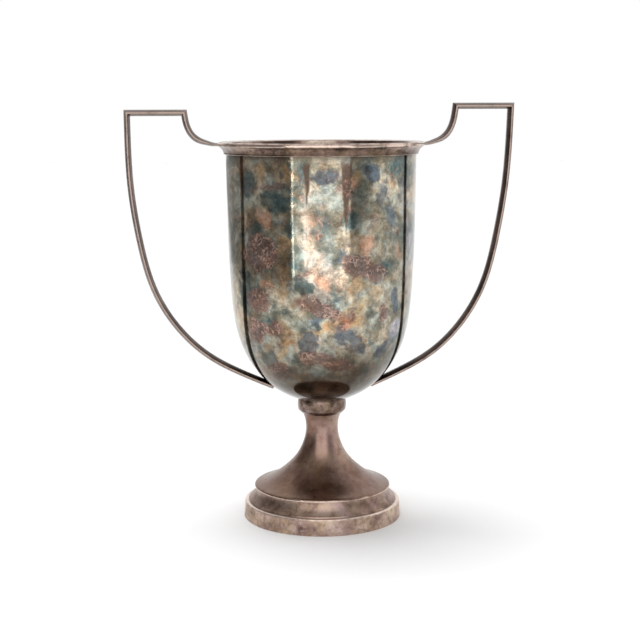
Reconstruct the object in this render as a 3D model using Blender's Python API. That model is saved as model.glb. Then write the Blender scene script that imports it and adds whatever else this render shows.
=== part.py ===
"""A two-handled trophy cup of thin plated metal: a spun bowl on a trumpet foot, with mitred strap handles.

The cup's axis is Z and it stands on Z = 0. The handles lie in the XZ plane, the right one at +X.
Every turned piece is a closed profile of (radius, height) points, spun about Z. Every strap of a
handle is one bevelled section, extruded from station to station along a line in the XZ plane.
"""

import math

import bmesh
import bpy
from mathutils import Vector

# Sizes are in metres.
SEAM = 0.0003                 # clearance that the solder fills between two pieces
WALL = 0.0010                 # gauge of the spun metal

# Base band, base mount and foot, from the table upwards
BASE_RADIUS = 0.0490          # at the table
BASE_TAPER = 0.0006           # what the band loses in radius on its way up
BASE_HEIGHT = 0.0103
BASE_SHOULDER = 0.0012        # radius of the band's rounded shoulder
HEM_WIDTH = 0.0040            # lower edge of the band, turned inwards to stand on
EDGE_WIRE_RADIUS = 0.0011
MOUNT_HEIGHT = 0.0082
MOUNT_COVE = 0.0012           # how deep the mount's cove is below its chord
MOUNT_LEDGE = 0.0010          # flat that the mount shows above the band
FOOT_SETBACK = 0.0067          # from the band's radius in to the foot's edge
FOOT_HEIGHT = 0.0465
FOOT_NECK_RADIUS = 0.0097
FOOT_TOP_RADIUS = 0.0122

# Collar between foot and bowl
COLLAR_HEIGHT = 0.0076
COLLAR_RADIUS = 0.0146
COLLAR_BULGE = 0.0004
COLLAR_BEVEL = 0.0022

# Bowl and the moulding round its mouth
BOWL_RADIUS = 0.0579          # outside of the wall at the mouth
BOWL_DEPTH = 0.1584
BOWL_SEAT_RADIUS = 0.0135     # flat of the bowl's bottom
RIM_REACH = 0.0047            # how far the moulding stands out from the wall
RIM_HEIGHT = 0.0074
RIM_FILLET = 0.0009           # height and reach of the square edge under the moulding
RIM_BEAD_RADIUS = 0.0016
RIM_BEAD_ARC = (-30, 100)     # from the cove over the crest to the lip, in degrees from level
RIM_COVE = 0.0006
LIP_DROP = 0.0005             # the bowl's edge lies this far below the crest of the moulding

# Handles
STRAP_THICKNESS = 0.0038      # across the strap, in the plane of the handle
STRAP_DEPTH = 0.0116          # from front land to back land
STRAP_LAND = 0.0013           # width of the front and back lands
STRAP_EDGE = 0.0024           # width of the flat along either edge
CROOK_REACH = 0.0194          # from the moulding out to the inner top corner, on the centre line
CROOK_RISE = 0.0208           # from the crook's seat up to the top bar's centre line
CROOK_SEAT_DROP = 0.0016      # how far below the crest the crook meets the moulding
CROOK_TIP = 0.0017            # thickness where the crook meets the moulding
CROOK_TAPER_SHARE = 0.45      # part of the crook's length that tapers
BAR_LENGTH = 0.0340           # from corner to corner, on the centre lines
BOW_LANDING_SHARE = 0.5216    # radius at which the bow meets the bowl's underside, as a share of the bowl's
HANDLE_UNEVENNESS = 0.0018    # bent by hand: the right handle is this much taller, the left one this much less
BOW_SWELL = 0.0009            # and the left bow bulges this much further out, the right one this much less

# Fastening inside the foot
STUD_RADIUS = 0.0025
STUD_HEAD_RADIUS = 0.0080
STUD_HEAD_HEIGHT = 0.0022
STUD_TIP = 0.0012             # thread that stands out below the nut
BORE_CLEARANCE = 0.0003       # round the stud and its head, on the radius
BRIDGE_RADIUS = 0.0135        # disc that bears inside the foot's flare
BRIDGE_CEILING = 0.667        # the flare starts below this share of the foot's height
BRIDGE_THICKNESS = 0.0015
SPRING_WASHER_RADIUS = 0.0045
SPRING_WASHER_THICKNESS = 0.0012
SPRING_WASHER_SPLIT = math.radians(14)
NUT_ACROSS_FLATS = 0.0080
NUT_HEIGHT = 0.0040

# Outlines, as shares (across, up) of the box that each one fills
BOWL_OUTLINE = ((1, 1), (0.984, 0.64), (0.948, 0.395), (0.862, 0.237), (0.636, 0.119), (0.34, 0.04), (0, 0))
FOOT_OUTLINE = ((1, 1), (0.009, 0.895), (-0.003, 0.712), (0.098, 0.503), (0.253, 0.34), (0.6, 0.134),
                (0.875, 0.048), (1, 0.034), (1, 0))
BOW_OUTLINE = ((1, 1), (0.991, 0.75), (0.922, 0.535), (0.843, 0.359), (0.673, 0.216), (0.466, 0.113),
               (0.229, 0.05), (0, 0))
CROOK_OUTLINE = ((0, 0), (0.2, 0), (0.37, 0.06), (0.58, 0.115), (0.81, 0.29), (0.95, 0.62), (1, 1))

# Fineness of the meshes
ROUND_STEPS = 56
BOWL_STEPS = 20
FOOT_STEPS = 18
BOW_STATIONS = 22
CROOK_STATIONS = 10
ARC_STEPS = 5
WIRE_SIDES = 8
HOLE_SIDES = 24
HEXAGON = 6
SMOOTH_ANGLE = math.radians(32)


# ---------------------------------------------------------------- curves

def smooth_curve(controls, count):
    """Points of a uniform cubic B-spline that starts at the first control and ends at the last."""
    knots = [Vector(point) for point in controls]
    knots = [2 * knots[0] - knots[1], *knots, 2 * knots[-1] - knots[-2]]
    spans = len(knots) - 3
    points = []
    for step in range(count + 1):
        span = min(int(step * spans / count), spans - 1)
        t = step * spans / count - span
        weights = ((1 - t) ** 3, 3 * t ** 3 - 6 * t ** 2 + 4, 3 * t + 3 * t ** 2 - 3 * t ** 3 + 1, t ** 3)
        points.append(sum((w * knot for w, knot in zip(weights, knots[span:])), Vector((0, 0))) / 6)
    return points


def in_box(outline, start, end):
    """The outline's shares, stretched over the box whose (0, 0) is start and whose (1, 1) is end."""
    return [(start[0] + u * (end[0] - start[0]), start[1] + v * (end[1] - start[1])) for u, v in outline]


def arched(start, end, rise):
    """Points from start to end on a parabola that stands `rise` to the left of the chord."""
    start, end = Vector(start), Vector(end)
    left = Vector((start.y - end.y, end.x - start.x)).normalized()
    shares = [i / ARC_STEPS for i in range(ARC_STEPS + 1)]
    return [start.lerp(end, share) + left * 4 * rise * share * (1 - share) for share in shares]


def rounded(centre, radius, first, last, count=ARC_STEPS):
    """Points of an arc about centre, from angle first to angle last in degrees."""
    angles = [math.radians(first + (last - first) * i / count) for i in range(count + 1)]
    return [Vector((centre[0] + radius * math.cos(a), centre[1] + radius * math.sin(a))) for a in angles]


def directions(points):
    """Unit directions of a polyline at each of its points."""
    spans = [(b - a).normalized() for a, b in zip(points, points[1:])]
    return [(a + b).normalized() for a, b in zip([spans[0], *spans], [*spans, spans[-1]])]


def offset(points, distance):
    """The polyline moved sideways by distance, to the left of its own direction."""
    return [p + distance * Vector((-d.y, d.x)) for p, d in zip(points, directions(points))]


def height_at(points, radius):
    """Height at which a profile crosses a radius, or its last height if it never does."""
    for here, there in zip(points, points[1:]):
        if min(here.x, there.x) <= radius <= max(here.x, there.x):
            return here.y + (there.y - here.y) * (radius - here.x) / (there.x - here.x)
    return points[-1].y


# ---------------------------------------------------------------- levels and outlines that pieces share

FOOT_RADIUS = BASE_RADIUS - FOOT_SETBACK
MOUNT_BOTTOM = BASE_HEIGHT + SEAM
MOUNT_TOP = MOUNT_BOTTOM + MOUNT_HEIGHT
FOOT_BOTTOM = MOUNT_TOP + SEAM
FOOT_TOP = FOOT_BOTTOM + FOOT_HEIGHT
COLLAR_BOTTOM = FOOT_TOP + SEAM
COLLAR_TOP = COLLAR_BOTTOM + COLLAR_HEIGHT
BOWL_BOTTOM = COLLAR_TOP + SEAM
BOWL_TOP = BOWL_BOTTOM + BOWL_DEPTH
RIM_TOP = BOWL_TOP + LIP_DROP
RIM_RADIUS = BOWL_RADIUS + SEAM + RIM_REACH
CROOK_SEAT = RIM_TOP - CROOK_SEAT_DROP

BOWL_CURVE = smooth_curve(in_box(BOWL_OUTLINE, (BOWL_SEAT_RADIUS, BOWL_BOTTOM), (BOWL_RADIUS, BOWL_TOP)),
                          BOWL_STEPS)


def foot_controls():
    """Controls of the foot's outline, from the collar down to the mount; its neck is the narrowest place."""
    controls = in_box(FOOT_OUTLINE, (FOOT_NECK_RADIUS, FOOT_BOTTOM), (FOOT_RADIUS, FOOT_TOP))
    return [(FOOT_TOP_RADIUS, FOOT_TOP), *controls[1:]]


FOOT_CURVE = smooth_curve(foot_controls(), FOOT_STEPS)
FOOT_INSIDE = offset(FOOT_CURVE, -WALL)


# ---------------------------------------------------------------- objects

def clear_scene():
    for thing in list(bpy.data.objects):
        bpy.data.objects.remove(thing)


def metal(name, colour, roughness):
    """A metal of one colour, as a Principled BSDF."""
    made = bpy.data.materials.new(name)
    made.use_nodes = True
    shader = made.node_tree.nodes["Principled BSDF"]
    shader.inputs["Base Color"].default_value = (*colour, 1)
    shader.inputs["Metallic"].default_value = 1
    shader.inputs["Roughness"].default_value = roughness
    made.diffuse_color = (*colour, 1)
    return made


def place(name, shape, material):
    """The finished bmesh as an object of the scene, its faces turned outwards and its round parts smooth."""
    bmesh.ops.remove_doubles(shape, verts=shape.verts, dist=1e-7)
    bmesh.ops.recalc_face_normals(shape, faces=shape.faces)
    mesh = bpy.data.meshes.new(name)
    shape.to_mesh(mesh)
    shape.free()
    mesh.shade_smooth()
    mesh.set_sharp_from_angle(angle=SMOOTH_ANGLE)
    mesh.materials.append(material)
    piece = bpy.data.objects.new(name, mesh)
    bpy.context.scene.collection.objects.link(piece)
    return piece


def turned(name, profile, material, split=0.0):
    """A closed profile spun about Z; a split leaves a slot of that angle open."""
    shape = bmesh.new()
    verts = [shape.verts.new((radius, 0, height)) for radius, height in profile]
    pairs = zip(verts, verts[1:] + verts[:1])
    edges = [shape.edges.new(pair) for pair in pairs if pair[0].co.x or pair[1].co.x]
    outline = [shape.faces.new(verts)] if split else []
    bmesh.ops.spin(shape, geom=[*verts, *edges, *outline], axis=(0, 0, 1), cent=(0, 0, 0),
                   angle=2 * math.pi - split, steps=ROUND_STEPS, use_merge=not split)
    return place(name, shape, material)


def strap_outline(middle, along, thickness):
    """The bevelled section of a strap at a station, square to the direction `along` in the XZ plane."""
    across = Vector((-along.y, along.x))
    half, depth = thickness / 2, STRAP_DEPTH / 2
    land, edge = min(STRAP_LAND, thickness) / 2, STRAP_EDGE / 2
    corners = ((half, edge), (land, depth), (-land, depth), (-half, edge),
               (-half, -edge), (-land, -depth), (land, -depth), (half, -edge))
    return [Vector((middle.x + u * across.x, w, middle.y + u * across.y)) for u, w in corners]


def slid_to_plane(outline, along, point, normal):
    """The outline's corners, each slid along the strap until it meets a plane square to XZ."""
    slid = []
    for corner in outline:
        flat = Vector((corner.x, corner.z))
        flat += along * ((point - flat).dot(normal) / along.dot(normal))
        slid.append(Vector((flat.x, corner.y, flat.y)))
    return slid


def strap(name, line, thicknesses, material, before=None, after=None):
    """A strap along a line in the XZ plane.

    `before` and `after` are the directions of the straps that it is mitred to, if any. Its end is then
    cut on the plane that halves the corner, half a seam short of it.
    """
    ways = directions(line)
    outlines = [strap_outline(p, d, t) for p, d, t in zip(line, ways, thicknesses)]
    if before:
        normal = (before + ways[0]).normalized()
        outlines[0] = slid_to_plane(outlines[0], ways[0], line[0] + normal * SEAM / 2, normal)
    if after:
        normal = (after + ways[-1]).normalized()
        outlines[-1] = slid_to_plane(outlines[-1], ways[-1], line[-1] - normal * SEAM / 2, normal)
    shape = bmesh.new()
    rings = [[shape.verts.new(corner) for corner in outline] for outline in outlines]
    shape.faces.new(rings[0])
    shape.faces.new(reversed(rings[-1]))
    for near, far in zip(rings, rings[1:]):
        for i in range(len(near)):
            j = (i + 1) % len(near)
            shape.faces.new((near[i], near[j], far[j], far[i]))
    return place(name, shape, material)


def cut(piece, cutter):
    """Takes the cutter's solid away from the piece."""
    cutter.hide_render = True
    cutter.display_type = "WIRE"
    boolean = piece.modifiers.new("cut", "BOOLEAN")
    boolean.operation = "DIFFERENCE"
    boolean.object = cutter


# ---------------------------------------------------------------- base and foot

def base_band(material):
    """Lowest band: a tapered wall with a rounded shoulder and an edge turned inwards to stand on."""
    top_radius = BASE_RADIUS - BASE_TAPER
    centre = (top_radius - BASE_SHOULDER, BASE_HEIGHT - BASE_SHOULDER)
    outside = [(BASE_RADIUS, 0), *rounded(centre, BASE_SHOULDER, 0, 90)]
    inside = [(centre[0], BASE_HEIGHT - WALL), (top_radius - WALL, centre[1]),
              (BASE_RADIUS - WALL, WALL), (BASE_RADIUS - HEM_WIDTH, WALL), (BASE_RADIUS - HEM_WIDTH, 0)]
    return turned("base_band", [*outside, *inside], material)


def base_edge_wire(material):
    """Round wire that stiffens the turned-in edge from inside."""
    centre = (BASE_RADIUS - BASE_TAPER - WALL - SEAM - EDGE_WIRE_RADIUS, WALL + SEAM + EDGE_WIRE_RADIUS)
    return turned("base_edge_wire", rounded(centre, EDGE_WIRE_RADIUS, 0, 360, WIRE_SIDES)[1:], material)


def base_mount(material):
    """Coved mount between the band and the foot's edge."""
    low = Vector((BASE_RADIUS - BASE_TAPER - BASE_SHOULDER - MOUNT_LEDGE, MOUNT_BOTTOM))
    high = Vector((FOOT_RADIUS - MOUNT_LEDGE, MOUNT_TOP))
    outside = [low, *arched(low + Vector((0, WALL)), high, MOUNT_COVE)]
    inside = [Vector((p.x - WALL, p.y)) for p in outside]
    return turned("base_mount", [*outside, *reversed(inside)], material)


def foot(material):
    """Trumpet from the collar down to the mount, spun from sheet."""
    inside = [*FOOT_INSIDE[:-1], Vector((FOOT_INSIDE[-1].x, FOOT_BOTTOM))]
    inside[0].y = FOOT_TOP
    return turned("foot", [*FOOT_CURVE, *reversed(inside)], material)


def collar(material):
    """Ring between foot and bowl: barrel-shaped, bevelled below, bored for the stud and its head."""
    bore = STUD_RADIUS + BORE_CLEARANCE
    recess = STUD_HEAD_RADIUS + BORE_CLEARANCE
    recess_floor = BOWL_BOTTOM - SEAM - STUD_HEAD_HEIGHT - SEAM
    side = arched((COLLAR_RADIUS, COLLAR_TOP), (COLLAR_RADIUS, COLLAR_BOTTOM + COLLAR_BEVEL), COLLAR_BULGE)
    profile = [*side, (FOOT_TOP_RADIUS, COLLAR_BOTTOM), (bore, COLLAR_BOTTOM), (bore, recess_floor),
               (recess, recess_floor), (recess, COLLAR_TOP)]
    return turned("collar", profile, material)


# ---------------------------------------------------------------- bowl

def bowl(material):
    """Deep bowl, spun from one sheet, with a flat bottom that sits on the collar."""
    inside = offset(BOWL_CURVE, -WALL)
    inside[0].y = BOWL_TOP
    outside = [*BOWL_CURVE, Vector((0, BOWL_BOTTOM))]
    return turned("bowl", [*outside, Vector((0, BOWL_BOTTOM + WALL)), *reversed(inside)], material)


def rim_moulding(material):
    """Moulding round the mouth: a bead on top, a shallow cove below it and a square fillet at the bottom."""
    back = BOWL_RADIUS + SEAM
    bottom = RIM_TOP - RIM_HEIGHT
    fillet = (back + RIM_FILLET, bottom + RIM_FILLET)
    bead = rounded((RIM_RADIUS - RIM_BEAD_RADIUS, RIM_TOP - RIM_BEAD_RADIUS), RIM_BEAD_RADIUS, *RIM_BEAD_ARC)
    cove = arched(fillet, bead[0], RIM_COVE)
    profile = [(back, bottom), (fillet[0], bottom), *cove, *bead[1:], (back, RIM_TOP - LIP_DROP)]
    return turned("rim_moulding", profile, material)


# ---------------------------------------------------------------- handles

def crook_line(rise):
    """Centre line from the moulding out and up to the inner top corner, hollow towards the bowl."""
    start = (RIM_RADIUS - STRAP_THICKNESS / 2, CROOK_SEAT)
    corner = (RIM_RADIUS + CROOK_REACH, CROOK_SEAT + rise)
    return smooth_curve(in_box(CROOK_OUTLINE, start, corner), CROOK_STATIONS)


def bow_line(corner, swell):
    """Centre line from the outer top corner down to the bowl's underside, swollen outwards half way up."""
    radius = BOW_LANDING_SHARE * BOWL_RADIUS
    line = in_box(BOW_OUTLINE, (radius, height_at(BOWL_CURVE, radius)), corner)
    swollen = [(x + swell * math.sin(math.pi * up), z) for (x, z), (_, up) in zip(line, BOW_OUTLINE)]
    return smooth_curve(swollen, BOW_STATIONS)


def handle(side, turn, material):
    """Three straps of one handle: crook, top bar and bow, drawn at +X and turned to their side."""
    lean = math.cos(turn)
    crook = crook_line(CROOK_RISE + HANDLE_UNEVENNESS * lean)
    inner_corner = crook[-1]
    outer_corner = inner_corner + Vector((BAR_LENGTH, 0))
    bow = bow_line(outer_corner, -BOW_SWELL * lean)
    outwards = Vector((1, 0))

    taper_end = CROOK_TAPER_SHARE * CROOK_STATIONS
    growth = [min(1, i / taper_end) for i in range(len(crook))]
    crook_widths = [CROOK_TIP + (STRAP_THICKNESS - CROOK_TIP) * share for share in growth]
    even = [STRAP_THICKNESS] * len(bow)
    pieces = [
        strap(f"{side}_handle_crook", crook, crook_widths, material, after=outwards),
        strap(f"{side}_handle_top_bar", [inner_corner, outer_corner], even, material,
              before=directions(crook)[-1], after=directions(bow)[0]),
        strap(f"{side}_handle_bow", bow, even, material, before=outwards),
    ]
    for piece in pieces:
        piece.rotation_euler.z = turn
    return pieces


def bowl_cutter():
    """The bowl and its mouth, grown by a seam: it shapes the handle ends that are soldered to them."""
    grown = offset(BOWL_CURVE, SEAM)
    outer = RIM_RADIUS + SEAM
    above = RIM_TOP + STRAP_DEPTH
    profile = [(0, above), (outer, above), (outer, RIM_TOP - RIM_HEIGHT), *grown[1:], (0, BOWL_BOTTOM - SEAM)]
    return turned("bowl_cutter", profile, None)


# ---------------------------------------------------------------- fastening

def bowl_stud(material, bottom):
    """Stud under the bowl: a flat head soldered to the bottom, and a rod down through collar and foot."""
    head_top = BOWL_BOTTOM - SEAM
    profile = [(0, head_top), (STUD_HEAD_RADIUS, head_top), (STUD_HEAD_RADIUS, head_top - STUD_HEAD_HEIGHT),
               (STUD_RADIUS, head_top - STUD_HEAD_HEIGHT), (STUD_RADIUS, bottom), (0, bottom)]
    return turned("bowl_stud", profile, material)


def washer(name, top, outer, thickness, material, split=0.0):
    """A flat ring under a given height, with a clear hole for the stud."""
    bore = STUD_RADIUS + BORE_CLEARANCE
    profile = [(bore, top), (outer, top), (outer, top - thickness), (bore, top - thickness)]
    return turned(name, profile, material, split)


def hex_nut(top, material):
    """Hexagon nut with a clear hole."""
    shape = bmesh.new()
    corner_radius = NUT_ACROSS_FLATS / math.sqrt(3)
    bore = STUD_RADIUS + BORE_CLEARANCE
    for radius, sides in ((corner_radius, HEXAGON), (bore, HOLE_SIDES)):
        ring = [shape.verts.new((radius * math.cos(a), radius * math.sin(a), top))
                for a in (2 * math.pi * i / sides for i in range(sides))]
        for pair in zip(ring, ring[1:] + ring[:1]):
            shape.edges.new(pair)
    bmesh.ops.triangle_fill(shape, edges=shape.edges, use_beauty=True)
    sheet = bmesh.ops.extrude_face_region(shape, geom=shape.faces[:], use_keep_orig=True)["geom"]
    moved = [part for part in sheet if isinstance(part, bmesh.types.BMVert)]
    bmesh.ops.translate(shape, verts=moved, vec=(0, 0, -NUT_HEIGHT))
    return place("stud_nut", shape, material)


def bridge_height():
    """Height at which the bridge washer meets the inside of the foot's flare."""
    flare = [p for p in FOOT_INSIDE if p.y < FOOT_BOTTOM + BRIDGE_CEILING * FOOT_HEIGHT]
    return height_at(flare, BRIDGE_RADIUS + SEAM)


def fastening(material):
    """Stud, bridge washer, spring washer and nut, from the bowl down."""
    bridge_top = bridge_height()
    spring_top = bridge_top - BRIDGE_THICKNESS - SEAM
    nut_top = spring_top - SPRING_WASHER_THICKNESS - SEAM
    bowl_stud(material, nut_top - NUT_HEIGHT - STUD_TIP)
    washer("bridge_washer", bridge_top, BRIDGE_RADIUS, BRIDGE_THICKNESS, material)
    washer("spring_washer", spring_top, SPRING_WASHER_RADIUS, SPRING_WASHER_THICKNESS, material,
           SPRING_WASHER_SPLIT)
    hex_nut(nut_top, material)


def main():
    clear_scene()
    bowl_silver = metal("bowl_silver", (0.47, 0.48, 0.42), 0.16)
    rim_silver = metal("rim_silver", (0.40, 0.31, 0.27), 0.34)
    foot_silver = metal("foot_silver", (0.34, 0.27, 0.24), 0.38)
    handle_silver = metal("handle_silver", (0.33, 0.26, 0.23), 0.36)
    fastener_steel = metal("fastener_steel", (0.42, 0.40, 0.38), 0.42)

    base_band(foot_silver)
    base_edge_wire(foot_silver)
    base_mount(foot_silver)
    foot(foot_silver)
    collar(foot_silver)
    bowl(bowl_silver)
    rim_moulding(rim_silver)
    fastening(fastener_steel)

    cutter = bowl_cutter()
    for side, turn in (("right", 0.0), ("left", math.pi)):
        crook, _, bow = handle(side, turn, handle_silver)
        cut(crook, cutter)
        cut(bow, cutter)


main()
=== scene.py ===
"""Looks of a two-handled trophy cup in tarnished silver plate.

Sizes are in metres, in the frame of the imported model. The cup's axis is Z and its handles lie in the XZ
plane. A turned piece is a closed profile carried round Z. A strap of a handle is one section carried along
a line.
"""

import math

import bpy
import numpy as np
from mathutils import Matrix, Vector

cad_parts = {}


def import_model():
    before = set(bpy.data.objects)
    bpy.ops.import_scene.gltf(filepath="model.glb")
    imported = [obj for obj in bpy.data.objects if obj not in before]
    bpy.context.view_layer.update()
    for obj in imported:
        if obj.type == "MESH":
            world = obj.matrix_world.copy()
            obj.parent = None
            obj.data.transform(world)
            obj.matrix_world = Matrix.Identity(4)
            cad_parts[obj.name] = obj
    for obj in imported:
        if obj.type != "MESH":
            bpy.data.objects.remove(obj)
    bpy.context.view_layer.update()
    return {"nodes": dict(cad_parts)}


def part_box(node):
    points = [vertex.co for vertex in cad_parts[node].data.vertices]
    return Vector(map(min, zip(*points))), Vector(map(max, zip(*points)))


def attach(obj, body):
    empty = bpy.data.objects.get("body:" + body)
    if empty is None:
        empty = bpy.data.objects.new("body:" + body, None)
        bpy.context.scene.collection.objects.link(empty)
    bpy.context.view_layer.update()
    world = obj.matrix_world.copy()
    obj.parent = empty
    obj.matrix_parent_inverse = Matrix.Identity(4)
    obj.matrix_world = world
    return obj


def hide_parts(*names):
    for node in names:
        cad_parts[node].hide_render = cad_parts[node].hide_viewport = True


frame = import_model()

# Heights of the seams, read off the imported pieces
BASE_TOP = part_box("base_band")[1].z
MOUNT_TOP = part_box("base_mount")[1].z
FOOT_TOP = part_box("foot")[1].z
COLLAR_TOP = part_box("collar")[1].z
BOWL_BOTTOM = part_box("bowl")[0].z
BOWL_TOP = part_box("bowl")[1].z
RIM_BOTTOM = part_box("rim_moulding")[0].z
RIM_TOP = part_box("rim_moulding")[1].z

BASE_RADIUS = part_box("base_band")[1].x
FOOT_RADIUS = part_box("foot")[1].x
BOWL_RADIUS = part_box("bowl")[1].x
RIM_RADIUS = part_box("rim_moulding")[1].x

WALL = 0.0010
LAP = 0.0004                  # solder: how far a piece laps into its neighbour
BASE_TAPER = 0.0006
BASE_SHOULDER = 0.0012
HEM_WIDTH = 0.0040
MOUNT_LEDGE = 0.0010
MOUNT_COVE = 0.0012
FOOT_NECK_RADIUS = 0.0097
FOOT_TOP_RADIUS = 0.0122
COLLAR_RADIUS = 0.0146
COLLAR_BULGE = 0.0004
COLLAR_BEVEL = 0.0022
COLLAR_BORE = 0.0083
BOWL_SEAT_RADIUS = 0.0135
RIM_FILLET = 0.0009
RIM_BEAD_RADIUS = 0.0016
RIM_COVE = 0.0006
STRAP_THICKNESS = 0.0038
STRAP_DEPTH = 0.0116
STRAP_LAND = 0.0013
STRAP_EDGE = 0.0024
CROOK_REACH = 0.0194
CROOK_SEAT_DROP = 0.0016
CROOK_TIP = 0.0017
CROOK_TAPER_SHARE = 0.45
BAR_LENGTH = 0.0340
BOW_LANDING_SHARE = 0.5216
BOW_SWELL = 0.0009
WORN_EDGE = 0.0003            # how far from its land a strap is rubbed bright
SOFT_ARRIS = 0.00035          # rounding that years of polish leave on a turned edge
LIP_DROP = 0.0005             # from the top of the moulding to its back edge
MITRE_ROOM = 0.6 * STRAP_THICKNESS    # length next to a strap's end without stations, for the mitre

# How far above and below its middle each turned edge is rubbed bright
BASE_RUB = 0.0011
FOOT_RUB = 0.0013
COLLAR_RUB = 0.0010
RIM_RUB = 0.0016
FOOT_RUB_WIDTH = 0.0006       # how far in from the foot's edge its rub reaches
RIM_RUB_DROP = 0.0012         # from the top of the moulding to the middle of its rub

# Outlines, as shares (across, up) of the box that each one fills
BOWL_OUTLINE = ((1, 1), (0.984, 0.64), (0.948, 0.395), (0.862, 0.237), (0.636, 0.119), (0.34, 0.04), (0, 0))
FOOT_OUTLINE = ((1, 1), (0.009, 0.895), (-0.003, 0.712), (0.098, 0.503), (0.253, 0.34), (0.6, 0.134),
                (0.875, 0.048), (1, 0.034), (1, 0))
BOW_OUTLINE = ((1, 1), (0.991, 0.75), (0.922, 0.535), (0.843, 0.359), (0.673, 0.216), (0.466, 0.113),
               (0.229, 0.05), (0, 0))
CROOK_OUTLINE = ((0, 0), (0.2, 0), (0.37, 0.06), (0.58, 0.115), (0.81, 0.29), (0.95, 0.62), (1, 1))

ROUND_STEPS = 224
BOWL_STEPS = 150
FOOT_STEPS = 80
ARC_STEPS = 12
ARRIS_STEPS = 4
BOW_STATIONS = 130
CROOK_STATIONS = 40
CURVE_FINENESS = 4            # points of a handle's curve for each of its stations
SHARP_ANGLE = math.radians(42)         # faces that meet at more than this show an edge
FULL_ARRIS_ANGLE = math.radians(60)    # a corner that turns by this or more is fully worn
ARRIS_SHARE = 0.4             # most that an eased corner takes of the side next to it


# ---------------------------------------------------------------- outlines

def smooth_curve(controls, count):
    """Points of a uniform cubic B-spline: each is the sum of four controls, weighted by the cubic basis."""
    knots = np.asarray(controls, float)
    knots = np.vstack([2 * knots[0] - knots[1], knots, 2 * knots[-1] - knots[-2]])
    spans = len(knots) - 3
    place = np.linspace(0, spans, count + 1)
    span = np.minimum(place.astype(int), spans - 1)
    t = place - span
    weights = np.stack([(1 - t) ** 3, 3 * t ** 3 - 6 * t ** 2 + 4,
                        3 * t + 3 * t ** 2 - 3 * t ** 3 + 1, t ** 3], 1)
    return (weights[:, :, None] * knots[span[:, None] + np.arange(4)]).sum(1) / 6


def in_box(outline, start, end):
    """The outline's shares, stretched over the box from start, its (0, 0), to end, its (1, 1)."""
    start, end = np.asarray(start, float), np.asarray(end, float)
    return start + np.asarray(outline, float) * (end - start)


def arched(start, end, rise):
    """The chord from start to end plus 4 s (1 - s) times the rise, to its left, for shares s from 0 to 1."""
    start, end = np.asarray(start, float), np.asarray(end, float)
    share = np.linspace(0, 1, ARC_STEPS + 1)[:, None]
    along = (end - start) / np.linalg.norm(end - start)
    return start + share * (end - start) + 4 * rise * share * (1 - share) * np.array([-along[1], along[0]])


def rounded(centre, radius, first, last):
    """Centre plus radius times (cosine, sine), for angles from first to last in degrees."""
    angle = np.radians(np.linspace(first, last, ARC_STEPS + 1))[:, None]
    return np.asarray(centre, float) + radius * np.hstack([np.cos(angle), np.sin(angle)])


def directions(points):
    """Unit tangents of a polyline: the difference of each point's neighbours, made one long."""
    ways = np.gradient(points, axis=0)
    return ways / np.linalg.norm(ways, axis=1, keepdims=True)


def offset(points, distance):
    """Each point moved by the distance along the normal on the left of its tangent."""
    ways = directions(points)
    return points + distance * np.stack([-ways[:, 1], ways[:, 0]], 1)


def eased(corners, reach):
    """Every corner of a closed outline as a parabola between the points `reach` before and after it.

    Gives the points, and for each how sharp its corner is, from 0 to 1, at its strongest in mid arc.
    """
    corners = np.asarray(corners, float)
    before, after = np.roll(corners, 1, 0) - corners, np.roll(corners, -1, 0) - corners
    run_in, run_out = np.linalg.norm(before, axis=1), np.linalg.norm(after, axis=1)
    first = corners + before * (np.minimum(reach, ARRIS_SHARE * run_in) / run_in)[:, None]
    last = corners + after * (np.minimum(reach, ARRIS_SHARE * run_out) / run_out)[:, None]
    t = np.linspace(0, 1, ARRIS_STEPS)[None, :, None]
    points = (1 - t) ** 2 * first[:, None] + 2 * t * (1 - t) * corners[:, None] + t ** 2 * last[:, None]
    straight = -(before * after).sum(1) / (run_in * run_out)
    sharp = np.clip(np.arccos(np.clip(straight, -1, 1)) / FULL_ARRIS_ANGLE, 0, 1)
    return points.reshape(-1, 2), (sharp[:, None] * (4 * t * (1 - t))[0, :, 0]).reshape(-1)


def rubbed(profile, height, reach):
    """For each point exp(-((z - height) / reach) squared): 1 at the height, fading above and below it."""
    return np.exp(-((profile[:, 1] - height) / reach) ** 2)


# ---------------------------------------------------------------- pieces

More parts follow.
